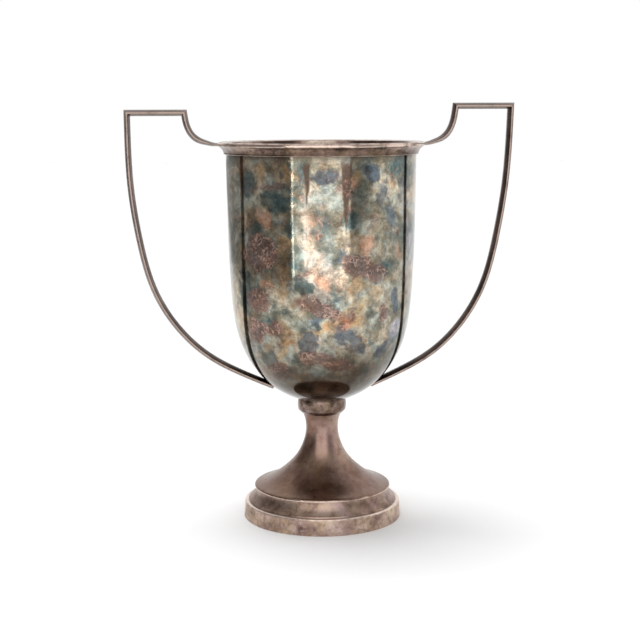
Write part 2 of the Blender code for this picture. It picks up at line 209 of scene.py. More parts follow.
def skin(name, grid, worn, loop, material, nodes):
    """A closed mesh from a grid of points whose columns wrap round.

    Its rows wrap round too if it is a loop; if not, a fan to the mean of its first row and one to the mean
    of its last row close it.
    Six times its volume is the sum of a . (b x c) over its triangles: below 0, its faces are turned about.
    """
    rows, columns = grid.shape[:2]
    points = grid.reshape(-1, 3)
    wear = np.broadcast_to(np.asarray(worn, float).reshape((rows, -1)), (rows, columns)).reshape(-1)
    index = np.arange(rows * columns).reshape(rows, columns)
    near = index if loop else index[:-1]
    far = np.roll(index, -1, 0) if loop else index[1:]
    quads = np.stack([near, np.roll(near, -1, 1), np.roll(far, -1, 1), far], -1).reshape(-1, 4)
    fans = np.empty((0, 3), int)
    if not loop:
        first, last = index[0], index[-1]
        tips = len(points) + np.arange(2)
        fans = np.vstack([np.stack([np.roll(first, -1), first, np.full(columns, tips[0])], 1),
                          np.stack([last, np.roll(last, -1), np.full(columns, tips[1])], 1)])
        points = np.vstack([points, grid[0].mean(0), grid[-1].mean(0)])
        wear = np.append(wear, [wear[0], wear[-1]])
    corners = np.vstack([quads[:, :3], quads[:, [0, 2, 3]], fans])
    a, b, c = (points[corners[:, i]] for i in range(3))
    if np.einsum("ij,ij->i", a, np.cross(b, c)).sum() < 0:
        quads, fans = quads[:, ::-1], fans[:, ::-1]
    mesh = bpy.data.meshes.new(name)
    mesh.from_pydata(points, [], quads.tolist() + fans.tolist())
    mesh.attributes.new("worn", "FLOAT", "POINT").data.foreach_set("value", wear.astype(np.float32))
    mesh.shade_smooth()
    mesh.set_sharp_from_angle(angle=SHARP_ANGLE)
    mesh.materials.append(material)
    piece = bpy.data.objects.new(name, mesh)
    bpy.context.scene.collection.objects.link(piece)
    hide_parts(*nodes)
    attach(piece, "root")
    return piece


def turned(name, profile, worn, material, node, loop=True):
    """Points (r cos a, r sin a, z) for each (r, z) of the profile and each angle a of a full turn."""
    angle = np.linspace(0, 2 * np.pi, ROUND_STEPS, endpoint=False)
    radius, height = profile[:, :1], np.broadcast_to(profile[:, 1:], (len(profile), ROUND_STEPS))
    grid = np.stack([radius * np.cos(angle), radius * np.sin(angle), height], -1)
    return skin(name, grid, worn, loop, material, [node])


def base_band(material):
    """Tapered band with a rounded shoulder and an edge turned in to stand on.

    Its ledge reaches in under the mount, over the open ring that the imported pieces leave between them.
    """
    top = BASE_RADIUS - BASE_TAPER
    centre = (top - BASE_SHOULDER, BASE_TOP - BASE_SHOULDER)
    shoulder = rounded(centre, BASE_SHOULDER, 0, 90)
    ledge = centre[0] - MOUNT_LEDGE - LAP
    inside = [(ledge, BASE_TOP), (ledge, BASE_TOP - WALL), (top - WALL, centre[1]),
              (BASE_RADIUS - WALL, WALL), (BASE_RADIUS - HEM_WIDTH, WALL), (BASE_RADIUS - HEM_WIDTH, 0)]
    profile, worn = eased(np.vstack([[(BASE_RADIUS, 0)], shoulder, inside]), SOFT_ARRIS)
    worn = np.maximum(worn, rubbed(profile, BASE_TOP, BASE_RUB) * (profile[:, 0] > ledge))
    return turned("base_band_plate", profile, worn, material, "base_band")


def base_mount(material):
    """Coved ring between the band and the foot's edge."""
    low = np.array([BASE_RADIUS - BASE_TAPER - BASE_SHOULDER - MOUNT_LEDGE, BASE_TOP - LAP])
    high = np.array([FOOT_RADIUS - MOUNT_LEDGE, MOUNT_TOP + LAP])
    outside = np.vstack([low, arched(low + (0, WALL), high, MOUNT_COVE)])
    inside = outside[::-1] - (WALL, 0)
    profile, worn = eased(np.vstack([outside, inside]), SOFT_ARRIS)
    return turned("base_mount_plate", profile, 0.6 * worn, material, "base_mount")


def foot(material):
    """Trumpet spun from sheet, with a rounded lower edge."""
    controls = in_box(FOOT_OUTLINE, (FOOT_NECK_RADIUS, MOUNT_TOP), (FOOT_RADIUS, FOOT_TOP + LAP))
    controls[0] = (FOOT_TOP_RADIUS, FOOT_TOP + LAP)
    outside = smooth_curve(controls, FOOT_STEPS)
    inside = offset(outside, -WALL)
    inside[0, 1] = outside[0, 1]
    inside[-1] = (outside[-1, 0] - WALL, outside[-1, 1])
    profile, worn = eased(np.vstack([outside, inside[::-1]]), SOFT_ARRIS)
    edge = rubbed(profile, MOUNT_TOP, FOOT_RUB) * (profile[:, 0] > FOOT_RADIUS - FOOT_RUB_WIDTH)
    return turned("foot_plate_trumpet", profile, np.maximum(worn, edge), material, "foot")


def collar(material):
    """Barrel-shaped ring with a bevelled lower edge, bored out where it doesn't show."""
    low, high = FOOT_TOP - LAP, COLLAR_TOP + WALL
    side = arched((COLLAR_RADIUS, high), (COLLAR_RADIUS, low + COLLAR_BEVEL), COLLAR_BULGE)
    rest = [(FOOT_TOP_RADIUS + LAP / 4, low), (COLLAR_BORE, low), (COLLAR_BORE, high)]
    profile, worn = eased(np.vstack([side, rest]), SOFT_ARRIS)
    bevel = rubbed(profile, low + COLLAR_BEVEL / 2, COLLAR_RUB) * (profile[:, 0] > FOOT_TOP_RADIUS)
    return turned("collar_ring", profile, np.maximum(worn, 0.8 * bevel), material, "collar")


def bowl_curve():
    """Outside of the bowl, from the mouth down to its flat seat."""
    controls = in_box(BOWL_OUTLINE, (BOWL_SEAT_RADIUS, BOWL_BOTTOM), (BOWL_RADIUS, BOWL_TOP))
    return smooth_curve(controls, BOWL_STEPS)


def bowl(material):
    """The outside curve, a half-round lip, and the same curve moved in by the gauge of the metal.

    Its `worn` number isn't wear: it is 1 on the inside, which has a finish of its own, and 0 outside.
    """
    outside = bowl_curve()[::-1]
    inside = offset(outside, WALL)[::-1]
    lip = rounded((BOWL_RADIUS - WALL / 2, BOWL_TOP - WALL / 2), WALL / 2, 0, 180)
    keep_out, keep_in = outside[:, 1] < BOWL_TOP - WALL / 2, inside[:, 1] < BOWL_TOP - WALL / 2
    start = [(BOWL_SEAT_RADIUS * share, BOWL_BOTTOM) for share in (0.1, 0.5)]
    end = [(BOWL_SEAT_RADIUS * share, BOWL_BOTTOM + WALL) for share in (0.5, 0.1)]
    profile = np.vstack([start, outside[keep_out], lip, inside[keep_in], end])
    within = np.arange(len(profile)) > len(start) + keep_out.sum() + ARC_STEPS // 2
    return turned("bowl_shell", profile, within, material, "bowl", loop=False)


def rim_moulding(material):
    """Bead on top, a shallow cove below it and a square fillet at the bottom."""
    back = BOWL_RADIUS - LAP / 2
    fillet = (back + LAP + RIM_FILLET, RIM_BOTTOM + RIM_FILLET)
    bead = rounded((RIM_RADIUS - RIM_BEAD_RADIUS, RIM_TOP - RIM_BEAD_RADIUS), RIM_BEAD_RADIUS, -30, 100)
    cove = arched(fillet, bead[0], RIM_COVE)
    foot_edge, back_edge = [(back, RIM_BOTTOM), (fillet[0], RIM_BOTTOM)], [(back, RIM_TOP - LIP_DROP)]
    profile, worn = eased(np.vstack([foot_edge, cove, bead[1:], back_edge]), SOFT_ARRIS)
    crest = rubbed(profile, RIM_TOP - RIM_RUB_DROP, RIM_RUB)
    return turned("rim_band", profile, np.maximum(worn, crest), material, "rim_moulding")


# ---------------------------------------------------------------- handles

def stations(line, count, clear):
    """The line at its two ends, and at count even lengths that keep clear of both ends.

    Gives the points, and for each its share of the line's length.
    """
    run = np.append(0, np.cumsum(np.linalg.norm(np.diff(line, axis=0), axis=1)))
    at = np.concatenate([[0], np.linspace(clear, run[-1] - clear, count), [run[-1]]])
    return np.stack([np.interp(at, run, line[:, 0]), np.interp(at, run, line[:, 1])], 1), at / run[-1]


def strap(name, line, thickness, material, node, before=None, after=None):
    """At each station the point plus u times the normal plus w along Y, for each (u, w) of the section.

    The section is the same bevelled lozenge all along, scaled across by the thickness there. The end rows
    are slid along the strap on to the plane that halves the angle with the strap that it is mitred to.
    """
    ways = directions(line)
    normals = np.stack([-ways[:, 1], ways[:, 0]], 1)
    half, land, edge, depth = STRAP_THICKNESS / 2, STRAP_LAND / 2, STRAP_EDGE / 2, STRAP_DEPTH / 2
    corners = [(half, edge), (land, depth), (-land, depth), (-half, edge),
               (-half, -edge), (-land, -depth), (land, -depth), (half, -edge)]
    section, _ = eased(corners, SOFT_ARRIS)
    across = section[:, 0] * (thickness / STRAP_THICKNESS)[:, None]
    flat = line[:, None] + across[:, :, None] * normals[:, None]
    for row, other, sign in ((0, before, 1), (-1, after, -1)):
        if other is not None:
            plane = np.asarray(other) + ways[row]
            slide = ((line[row] - flat[row]) @ plane) / (ways[row] @ plane)
            flat[row] = flat[row] + slide[:, None] * ways[row]
    deep = np.broadcast_to(section[:, 1], flat.shape[:2])
    grid = np.stack([flat[:, :, 0], deep, flat[:, :, 1]], -1)
    worn = np.clip((np.abs(deep) - (depth - WORN_EDGE)) / WORN_EDGE, 0, 1)
    return skin(name, grid, worn, False, material, [node])


def handle(side, turn, material):
    """Crook, top bar and bow of one handle, mirrored on to its side of the cup."""
    corner_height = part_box(f"{side}_handle_top_bar")[1].z - STRAP_THICKNESS / 2
    seat = (RIM_RADIUS - STRAP_THICKNESS / 2, RIM_TOP - CROOK_SEAT_DROP)
    inner = np.array([RIM_RADIUS + CROOK_REACH, corner_height])
    outer = inner + (BAR_LENGTH, 0)
    landing = BOW_LANDING_SHARE * BOWL_RADIUS
    outside = bowl_curve()[::-1]
    landing_height = np.interp(landing, outside[:, 0], outside[:, 1])
    bow_controls = in_box(BOW_OUTLINE, (landing, landing_height), outer)
    bow_controls[:, 0] += turn * BOW_SWELL * np.sin(np.pi * np.asarray(BOW_OUTLINE)[:, 1])
    mirror = np.array([-turn, 1])

    crook_curve = smooth_curve(in_box(CROOK_OUTLINE, seat, inner), CROOK_STATIONS * CURVE_FINENESS)
    bow_curve = smooth_curve(bow_controls, BOW_STATIONS * CURVE_FINENESS)
    crook, crook_share = stations(crook_curve, CROOK_STATIONS, MITRE_ROOM)
    bow, _ = stations(bow_curve, BOW_STATIONS, MITRE_ROOM)
    bar, _ = stations(np.stack([inner, outer]), CROOK_STATIONS, MITRE_ROOM)
    taper = CROOK_TIP + (STRAP_THICKNESS - CROOK_TIP) * np.clip(crook_share / CROOK_TAPER_SHARE, 0, 1)
    crook, bar, bow = crook * mirror, bar * mirror, bow * mirror
    outwards = np.array([1, 0]) * mirror
    strap(f"{side}_crook_strap", crook, taper, material, f"{side}_handle_crook", after=outwards)
    strap(f"{side}_top_strap", bar, np.full(len(bar), STRAP_THICKNESS), material, f"{side}_handle_top_bar",
          before=directions(crook)[-1], after=directions(bow)[0])
    strap(f"{side}_bow_strap", bow, np.full(len(bow), STRAP_THICKNESS), material, f"{side}_handle_bow",
          before=outwards)


# ---------------------------------------------------------------- shader expressions

class Wire:
    """One output socket of a shader tree, which ordinary expressions turn into Math nodes."""

    def __init__(self, board, socket):
        self.board, self.socket = board, socket

    def __add__(self, other):
        return self.board.maths("ADD", self, other)

    def __sub__(self, other):
        return self.board.maths("SUBTRACT", self, other)

    def __rsub__(self, other):
        return self.board.maths("SUBTRACT", other, self)

    def __mul__(self, other):
        return self.board.maths("MULTIPLY", self, other)

    def __pow__(self, other):
        return self.board.maths("POWER", self, other)

    __radd__, __rmul__ = __add__, __mul__


class Board:
    """The node tree of a finish or of the air."""

    def __init__(self, tree):
        self.tree = tree

    def node(self, kind, settings=None, inputs=None, out=0):
        """A node of any type: first its settings, then its sockets' values or links, then one output."""
        made = self.tree.nodes.new(kind)
        for key, value in (settings or {}).items():
            if key == "stops":
                ramp = made.color_ramp
                while len(ramp.elements) < len(value):
                    ramp.elements.new(0.5)
                for element, (position, colour) in zip(ramp.elements, value):
                    element.position, element.color = position, (*colour, 1)
            else:
                setattr(made, key, value)
        for key, value in (inputs or {}).items():
            self.feed(made.inputs[key], value)
        return Wire(self, made.outputs[out])

    def feed(self, socket, value):
        """Links a wire to the socket, or sets a number or a colour on it."""
        if isinstance(value, Wire):
            self.tree.links.new(value.socket, socket)
        elif hasattr(value, "__len__") and len(value) == 3 and socket.type == "RGBA":
            socket.default_value = (*value, 1)
        else:
            socket.default_value = value

    def maths(self, operation, first, second=0.0):
        return self.node("ShaderNodeMath", {"operation": operation}, {0: first, 1: second})

    def step(self, value, low, high):
        """0 below low, 1 above high and smooth between."""
        return self.node("ShaderNodeMapRange", {"interpolation_type": "SMOOTHSTEP"},
                         {"Value": value, "From Min": low, "From Max": high})

    def blend(self, factor, under, over, mode="MIX"):
        """Colour under the factor 0, over at 1."""
        return self.node("ShaderNodeMix", {"data_type": "RGBA", "blend_type": mode},
                         {0: factor, 6: under, 7: over}, out=2)

    def ramp(self, value, *stops):
        """The colours of the stops, each a position and a colour, read at a value."""
        return self.node("ShaderNodeValToRGB", {"stops": stops}, {0: value})

    def axes(self, place):
        """The X, Y and Z of a place or a direction."""
        parts = self.node("ShaderNodeSeparateXYZ", {}, {0: place}).socket.node
        return (Wire(self, output) for output in parts.outputs)


class Finish(Board):
    """The node tree of one material, with its shader and its places on the cup."""

    def __init__(self, name):
        self.material = bpy.data.materials.new(name)
        self.material.use_nodes = True
        super().__init__(self.material.node_tree)
        self.principled = self.tree.nodes["Principled BSDF"]
        self.place = self.node("ShaderNodeTexCoord", out="Object")

    def cloud(self, scale, detail, roughness=0.55, distortion=0.0, place=None, seed=0.0):
        """Fractal noise about 0.5; scale is its bumps per metre."""
        return self.node("ShaderNodeTexNoise", {"noise_dimensions": "4D"},
                         {"Vector": place or self.place, "W": seed, "Scale": scale, "Detail": detail,
                          "Roughness": roughness, "Distortion": distortion})

    def moved(self, place, scale, amount, seed=0.0):
        """The place pushed about by a vector noise, so that patterns read there get ragged edges."""
        push = self.node("ShaderNodeTexNoise", {"noise_dimensions": "4D"},
                         {"Vector": place, "W": seed, "Scale": scale, "Detail": 3.0}, out=1)
        centred = self.node("ShaderNodeVectorMath", {"operation": "SUBTRACT"}, {0: push, 1: (0.5, 0.5, 0.5)})
        scaled = self.node("ShaderNodeVectorMath", {"operation": "SCALE"}, {0: centred, "Scale": amount})
        return self.node("ShaderNodeVectorMath", {"operation": "ADD"}, {0: place, 1: scaled})

    def crackle(self, place, scale, width):
        """Thin lines along the borders of Voronoi cells, 1 on the line and 0 away from it."""
        border = self.node("ShaderNodeTexVoronoi", {"feature": "DISTANCE_TO_EDGE"},
                           {"Vector": place, "Scale": scale, "Randomness": 1.0})
        return 1 - self.step(border, 0.0, width)

    def worn(self):
        """The piece's own `worn` number."""
        return self.node("ShaderNodeAttribute", {"attribute_name": "worn"}, out="Fac")

    def bump(self, height, distance, strength, under=None):
        """A normal tilted by the height times the distance, over the normal underneath if there is one."""
        inputs = {"Height": height, "Distance": distance, "Strength": strength}
        if under is not None:
            inputs["Normal"] = under
        return self.node("ShaderNodeBump", {}, inputs)

    def finish(self, **sockets):
        """Feeds the shader's sockets, named with _ for each space, and gives the material."""
        for name, value in sockets.items():
            self.feed(self.principled.inputs[name.replace("_", " ")], value)
        return self.material


# ---------------------------------------------------------------- finishes

# Linear colours of the tarnish, from clean plate to old sulphide
SAGE = (0.235, 0.220, 0.165)
PALE_SAGE = (0.42, 0.415, 0.345)
TEAL = (0.072, 0.108, 0.104)
SLATE = (0.085, 0.110, 0.135)
STRAW = (0.44, 0.300, 0.165)
AMBER = (0.165, 0.105, 0.056)
CREAM = (0.66, 0.56, 0.46)
ROSE = (0.150, 0.083, 0.068)
SALMON = (0.50, 0.260, 0.165)
RUST = (0.32, 0.105, 0.028)
UMBER = (0.042, 0.027, 0.017)
LILAC = (0.40, 0.41, 0.47)
TAN = (0.33, 0.235, 0.19)
POST_REFLECTION_DARK = (0.075, 0.048, 0.032)
VEIN = (0.72, 0.47, 0.37)

# Casts that a colour is multiplied by
WARM = (1.14, 0.98, 0.86)
COOL = (0.86, 1.00, 1.10)
OLIVE = (1.03, 1.02, 0.90)
MAUVE = (0.99, 0.96, 1.04)

# Where each tone has gathered on the bowl: turn about the axis in degrees from the front, height in
# millimetres, half width and half height in millimetres, strength
TEAL_PATCHES = ((-34, 200, 12, 8, 1), (-46, 182, 9, 9, 1), (14, 190, 6, 7, 1), (-31, 137, 10, 7, 0.9),
                (25, 136, 9, 8, 1), (-9, 181, 8, 6, 0.6), (-44, 108, 12, 12, 0.8), (-14, 149, 7, 5, 0.8),
                (-52, 208, 8, 10, 0.9), (4, 148, 6, 7, 0.8), (-8, 126, 7, 4, 0.7), (30, 96, 9, 8, 0.7),
                (-23, 186, 5, 8, 0.7), (-58, 150, 8, 16, 0.7))
SLATE_PATCHES = ((-3, 214, 10, 6, 0.9), (26, 217, 8, 8, 1), (34, 203, 8, 11, 1), (42, 190, 8, 11, 1),
                 (-14, 116, 10, 9, 1.1), (12, 124, 10, 10, 1), (40, 110, 8, 8, 1), (47, 140, 4, 10, 1.2),
                 (-10, 131, 8, 6, 0.7), (46, 118, 6, 7, 0.8), (8, 170, 5, 6, 0.6), (20, 116, 7, 7, 0.8))
STRAW_PATCHES = ((-29, 216, 8, 8, 1), (-9, 208, 8, 7, 0.8), (18, 179, 10, 8, 1), (-27, 152, 7, 16, 1),
                 (-28, 175, 7, 11, 0.8), (16, 148, 9, 9, 0.9), (-11, 120, 13, 6, 0.9), (-20, 97, 12, 6, 1),
                 (14, 212, 6, 7, 0.8), (-44, 217, 6, 6, 0.8), (28, 148, 6, 9, 0.7), (6, 96, 16, 6, 0.7))
ROSE_PATCHES = ((-34, 208, 10, 4, 0.8), (-44, 168, 15, 14, 1), (18, 163, 13, 9, 1.1), (30, 157, 9, 7, 0.9),
                (-46, 141, 14, 8, 1), (-13, 142, 10, 6, 1.1), (-3, 137, 10, 6, 1.1), (8, 131, 10, 7, 1),
                (-8, 108, 14, 6, 1.1), (8, 104, 14, 5, 1), (-38, 125, 10, 6, 0.8), (38, 134, 5, 13, 0.8),
                (-52, 122, 9, 9, 0.8), (10, 198, 5, 12, 0.7), (-42, 98, 14, 8, 0.8))
SALMON_PATCHES = ((-41, 190, 9, 7, 1), (-35, 187, 6, 5, 1), (14, 210, 5, 5, 0.9), (-3, 153, 8, 7, 0.8),
                  (10, 130, 7, 5, 1), (2, 105, 10, 4, 0.9), (22, 176, 6, 8, 1), (-8, 186, 7, 9, 0.7),
                  (-46, 205, 6, 8, 0.8), (26, 185, 5, 7, 0.7), (-40, 150, 7, 5, 0.6))
CREAM_PATCHES = ((-13, 178, 7, 15, 1), (-9, 158, 12, 17, 1.2), (0, 154, 11, 14, 1), (-11, 118, 15, 4, 0.8),
                 (8, 160, 5, 12, 0.7), (-14, 202, 5, 20, 0.6), (-6, 140, 8, 8, 0.5))
RUST_PATCHES = ((-7, 178, 9, 9, 1.1), (26, 170, 6, 6, 1.1), (-34, 172, 5, 9, 1.1), (-28, 99, 8, 5, 1.1),
                (-35, 163, 5, 6, 1), (24, 125, 10, 9, 1), (26, 106, 14, 9, 1), (-60, 219, 7, 9, 1.1),
                (9, 130, 8, 5, 0.8))
LILAC_PATCHES = ((61, 172, 15, 50, 1), (50, 120, 9, 18, 1), (44, 150, 6, 22, 0.7), (40, 95, 14, 7, 0.8),
                 (-16, 215, 5, 14, 0.9), (50, 210, 8, 22, 0.8), (38, 205, 5, 8, 0.6))
AMBER_PATCHES = ((-50, 190, 9, 14, 1), (-56, 160, 9, 14, 1), (-52, 130, 12, 12, 1), (-33, 122, 12, 9, 1),
                 (-40, 100, 16, 10, 1.1), (0, 90, 22, 7, 1), (-26, 160, 5, 14, 0.9), (-25, 192, 5, 14, 0.8),
                 (-58, 212, 7, 14, 1), (20, 98, 14, 7, 0.8), (-38, 217, 8, 6, 0.8), (30, 168, 5, 10, 0.6))
NOTHING_DARKENED = (-1.0, -0.5)       # heights below the floor, which no piece reaches
# Painted reflections of dark posts, hung below the rim as dark runs: turn, height of the thick end, half
# width, length
DARK_RUN_REFLECTIONS = ((-13, 222, 2.4, 26), (9.5, 223, 3.6, 42))


def gathered(board, turn, height, patches):
    """The sum of strength times (1 - square of the distance in half widths), each where it is above 0."""
    total = None
    for degrees, middle, half_width, half_height, strength in patches:
        across = (turn - math.radians(degrees)) * (BOWL_RADIUS * 1000 / half_width)
        up = (height - middle) * (1 / half_height)
        near = board.maths("MAXIMUM", 1 - across * across - up * up, 0.0) * strength
        total = near if total is None else total + near
    return total


def split(board, place):
    """Turn about the axis from the front, in radians, and height in millimetres, at a place."""
    x, y, z = board.axes(place)
    return board.maths("ARCTAN2", x, y * -1), z * 1000


def painted_run_reflections(board):
    """Painted reflections of dark posts as dark runs from the rim: full width at the top, narrowing with the
    root of the length left.
    """
    turn, height = split(board, board.moved(board.place, 130.0, 0.0030, 6.0))
    cover = None
    for degrees, top, half_width, length in DARK_RUN_REFLECTIONS:
        down = (top - height) * (1 / length)
        wide = half_width * board.maths("MAXIMUM", 1 - down, 0.0) ** 0.8
        off = board.maths("ABSOLUTE", (turn - math.radians(degrees)) * (BOWL_RADIUS * 1000))
        inside = board.step(wide - off, -0.5, 0.9) * board.step(down, -0.08, 0.10)
        cover = inside if cover is None else cover + inside
    return board.maths("MINIMUM", cover, 1.0)


def bowl_finish():
    """Polished plate under a film of tarnish that runs from straw through rose and slate to teal.

    Every tone's cover is a cloud plus its patches, read at places that a noise has pushed about. Rose places
    are crackled down to pale metal, rust sits in specks and the inside is rosy. Painted reflections hang
    below the rim as dark runs and darken the bowl towards its bottom; painted shade darkens it just under the
    rim.
    """
    board = Finish("bowl_tarnished_silver")
    ragged = board.moved(board.moved(board.place, 60.0, 0.010), 240.0, 0.0050, 3.0)
    turn, height = split(board, ragged)

    def cover(patches, scale, seed, low, high, share=0.62):
        cloud = board.cloud(scale, 6.0, 0.68, 0.4, ragged, seed) - 0.5
        return board.step(cloud * 2.7 + gathered(board, turn, height, patches) * share, low, high)

    broad = board.cloud(34.0, 6.0, 0.66, 0.6, ragged, 1.0)
    colour = board.ramp(broad, (0.37, TEAL), (0.47, SAGE), (0.55, PALE_SAGE), (0.66, STRAW))
    colour = board.blend(cover(STRAW_PATCHES, 60.0, 2.0, 0.17, 0.58) * 0.75, colour, STRAW)
    colour = board.blend(cover(AMBER_PATCHES, 54.0, 36.0, 0.10, 0.75) * 0.85, colour, AMBER)
    colour = board.blend(cover(CREAM_PATCHES, 50.0, 4.0, 0.20, 0.74, 0.72) * 0.80, colour, CREAM)
    colour = board.blend(cover(TEAL_PATCHES, 55.0, 3.0, 0.19, 0.54, 0.70) * 0.82, colour, TEAL)
    colour = board.blend(cover(SLATE_PATCHES, 58.0, 5.0, 0.18, 0.52, 0.74) * 0.86, colour, SLATE)
    colour = board.blend(cover(LILAC_PATCHES, 50.0, 9.0, 0.30, 0.95) * 0.75, colour, LILAC)
    rose = cover(ROSE_PATCHES, 62.0, 6.0, 0.10, 0.52, 0.80)
    colour = board.blend(rose * 0.85, colour, ROSE)
    salmon = cover(SALMON_PATCHES, 85.0, 7.0, 0.20, 0.75, 0.72)
    colour = board.blend(salmon * 0.7, colour, SALMON)

    mottle = board.cloud(170.0, 8.0, 0.74, seed=30.0)
    shade = board.step(mottle, 0.36, 0.64) * 0.90 + 0.56
    grey = board.node("ShaderNodeCombineColor", {}, {0: shade, 1: shade, 2: shade})
    colour = board.blend(1.0, colour, grey, "MULTIPLY")

    drift = board.step(board.cloud(75.0, 5.0, 0.66, 0.0, ragged, 40.0), 0.34, 0.66)
    colour = board.blend(1.0, colour, board.blend(drift, WARM, COOL), "MULTIPLY")

    fine = board.moved(ragged, 700.0, 0.0016, 5.0)
    veins = board.crackle(fine, 480.0, 0.13) * board.step(rose + salmon, 0.2, 0.8)
    veins = veins * board.step(board.cloud(150.0, 6.0, 0.7, seed=8.0), 0.45, 0.59)
    colour = board.blend(veins * 0.8, colour, VEIN)
    hairs = board.crackle(fine, 210.0, 0.035)
    hairs = hairs * board.step(board.cloud(90.0, 3.0, 0.5, seed=18.0), 0.46, 0.58)
    colour = board.blend(hairs * 0.40, colour, UMBER)

    flecks = board.step(board.cloud(520.0, 6.0, 0.75, seed=41.0), 0.60, 0.70)
    colour = board.blend(flecks * 0.45, colour, CREAM)
    specks = board.step(board.cloud(420.0, 5.0, 0.75, 0.0, fine, 11.0), 0.54, 0.64)
    rusty = cover(RUST_PATCHES, 66.0, 12.0, 0.20, 0.60)
    colour = board.blend(specks * rusty * 0.85, colour, RUST)
    dark_specks = board.step(board.cloud(760.0, 3.0, 0.6, seed=14.0), 0.62, 0.70)
    colour = board.blend(dark_specks * 0.6, colour, UMBER)

    # Painted reflections of dark posts, laid on as dark runs below the rim
    streaky = board.cloud(330.0, 5.0, 0.7, 1.0, seed=17.0)
    run_reflection_tone = board.ramp(streaky, (0.50, POST_REFLECTION_DARK), (0.60, ROSE), (0.70, SALMON))
    colour = board.blend(painted_run_reflections(board) * 0.95, colour, run_reflection_tone)

    # Painted reflection: the bowl turns darker towards its bottom, where it mirrors the foot
    _, level = split(board, board.place)
    low = 1 - board.step(level + board.cloud(45.0, 5.0, 0.6, seed=19.0) * 40, 102.0, 150.0)
    colour = board.blend(low * 0.86, colour, UMBER)
    # Painted shade on the bowl just under the rim moulding
    painted_shade_under_rim = board.step(level + mottle * 6, 224.5, 229.0)
    colour = board.blend(painted_shade_under_rim * 0.75, colour, UMBER)

    within = board.worn()
    rosy = board.cloud(45.0, 6.0, 0.65, 0.5, ragged, 33.0)
    lining = board.ramp(rosy, (0.40, ROSE), (0.52, TAN), (0.64, CREAM))
    colour = board.blend(within * 0.85, colour, lining)

    haze = board.cloud(90.0, 5.0, 0.6, 0.5, ragged, 21.0)
    film = board.cloud(1500.0, 2.0, 0.6, seed=22.0)
    roughness = 0.02 + haze * 0.09 + (rose + salmon) * 0.06 + specks * rusty * 0.2 + within * 0.16
    dents = board.bump(board.cloud(34.0, 2.0, 0.4, seed=23.0), 0.0007, 0.35)
    grain = board.bump(veins * 0.6 + film * 0.5 + haze * 0.8 + rose * 0.3, 0.00006, 0.5, dents)
    return board.finish(Base_Color=colour, Metallic=0.92 - rose * 0.12, Roughness=roughness, Normal=grain,
                        Coat_Weight=0.2, Coat_Roughness=0.05)


def satin_finish(name, deep, middle, light, bare, blotch, seed, roughness, darkened_below=NOTHING_DARKENED):
    """Satin plate: brown tarnish in three clouded tones, with worn edges and rubbed places paler.

    It is darker, in its deep tone, up to the first height and not from the second; on the rim and the foot
    this is painted shade. Wear is the piece's own `worn` number, broken up by a cloud. Fine pits and
    scratches carry the bump.
    """
    board = Finish(name)
    ragged = board.moved(board.place, 180.0, 0.004, seed)
    broad = board.cloud(blotch, 5.0, 0.62, 0.5, ragged, seed)
    colour = board.ramp(broad, (0.34, deep), (0.48, middle), (0.62, light))
    mottle = board.cloud(blotch * 5, 5.0, 0.7, 0.0, ragged, seed + 1)
    colour = board.blend(board.step(mottle, 0.50, 0.66) * 0.45, colour, light)
    colour = board.blend(board.step(mottle, 0.50, 0.36) * 0.50, colour, deep)
    drift = board.step(board.cloud(blotch * 1.3, 4.0, 0.6, 0.4, ragged, seed + 6), 0.36, 0.64)
    colour = board.blend(1.0, colour, board.blend(drift, OLIVE, MAUVE), "MULTIPLY")
    breaks = board.cloud(blotch * 3, 4.0, 0.65, seed=seed + 2)
    wear = board.step(board.worn() * 0.6 + breaks * 1.1, 0.74, 1.18)
    colour = board.blend(wear * 0.85, colour, bare)
    # The deep tone below a height: painted shade on the rim's underside and the foot's lower part; the
    # handles are just darker towards the bottom
    _, _, height = board.axes(board.place)
    height = height + (mottle - 0.5) * ((darkened_below[1] - darkened_below[0]) * 1.5)
    darkening = 1 - board.step(height, *darkened_below)
    colour = board.blend(darkening * (1 - wear) * 0.6, colour, deep)
    pits = board.step(board.cloud(900.0, 3.0, 0.6, seed=seed + 3), 0.62, 0.70)
    colour = board.blend(pits * 0.5, colour, deep)
    rough = roughness + mottle * 0.16 - wear * 0.10 + pits * 0.15
    dents = board.bump(board.cloud(70.0, 2.0, 0.5, seed=seed + 4), 0.0004, 0.3)
    grain = board.bump(board.cloud(1300.0, 4.0, 0.65, seed=seed + 5) - pits * 0.8, 0.00008, 0.5, dents)
    return board.finish(Base_Color=colour, Metallic=0.95 - pits * 0.3, Roughness=rough, Normal=grain)


def steel_finish():
    """Dull bare steel with a grey bloom."""
    board = Finish("fastener_dull_steel")
    bloom = board.cloud(160.0, 5.0, 0.65)
    colour = board.ramp(bloom, (0.35, (0.16, 0.15, 0.14)), (0.62, (0.42, 0.41, 0.39)))
    scratches = board.cloud(1400.0, 3.0, 0.6)
    return board.finish(Base_Color=colour, Metallic=0.9 + bloom * 0.1, Roughness=0.34 + bloom * 0.25,
                        Normal=board.bump(scratches, 0.00005, 0.4))


# ---------------------------------------------------------------- stage

CAMERA_DISTANCE = 0.819
CAMERA_TURN = math.radians(-4.8)
CAMERA_HEIGHT = 0.250
CAMERA_PITCH = math.radians(8.8)
CAMERA_ROLL = math.radians(0.2)
CAMERA_AIM = math.radians(0.07)      # how far left of the cup's axis it looks
CAMERA_LENS = 75.4

FLOOR_REACH = 6.0
FLOOR_TONE = 0.84
FLOOR_SHADE = 0.30            # tone that the metal mirrors to the front and the left
AIR_FRONT = 0.35              # how bright the air behind the camera is as light, the backdrop being 1
AIR_LEFT = 0.75               # share of its light that the air at the far left loses
SENSOR_WIDTH = 36.0


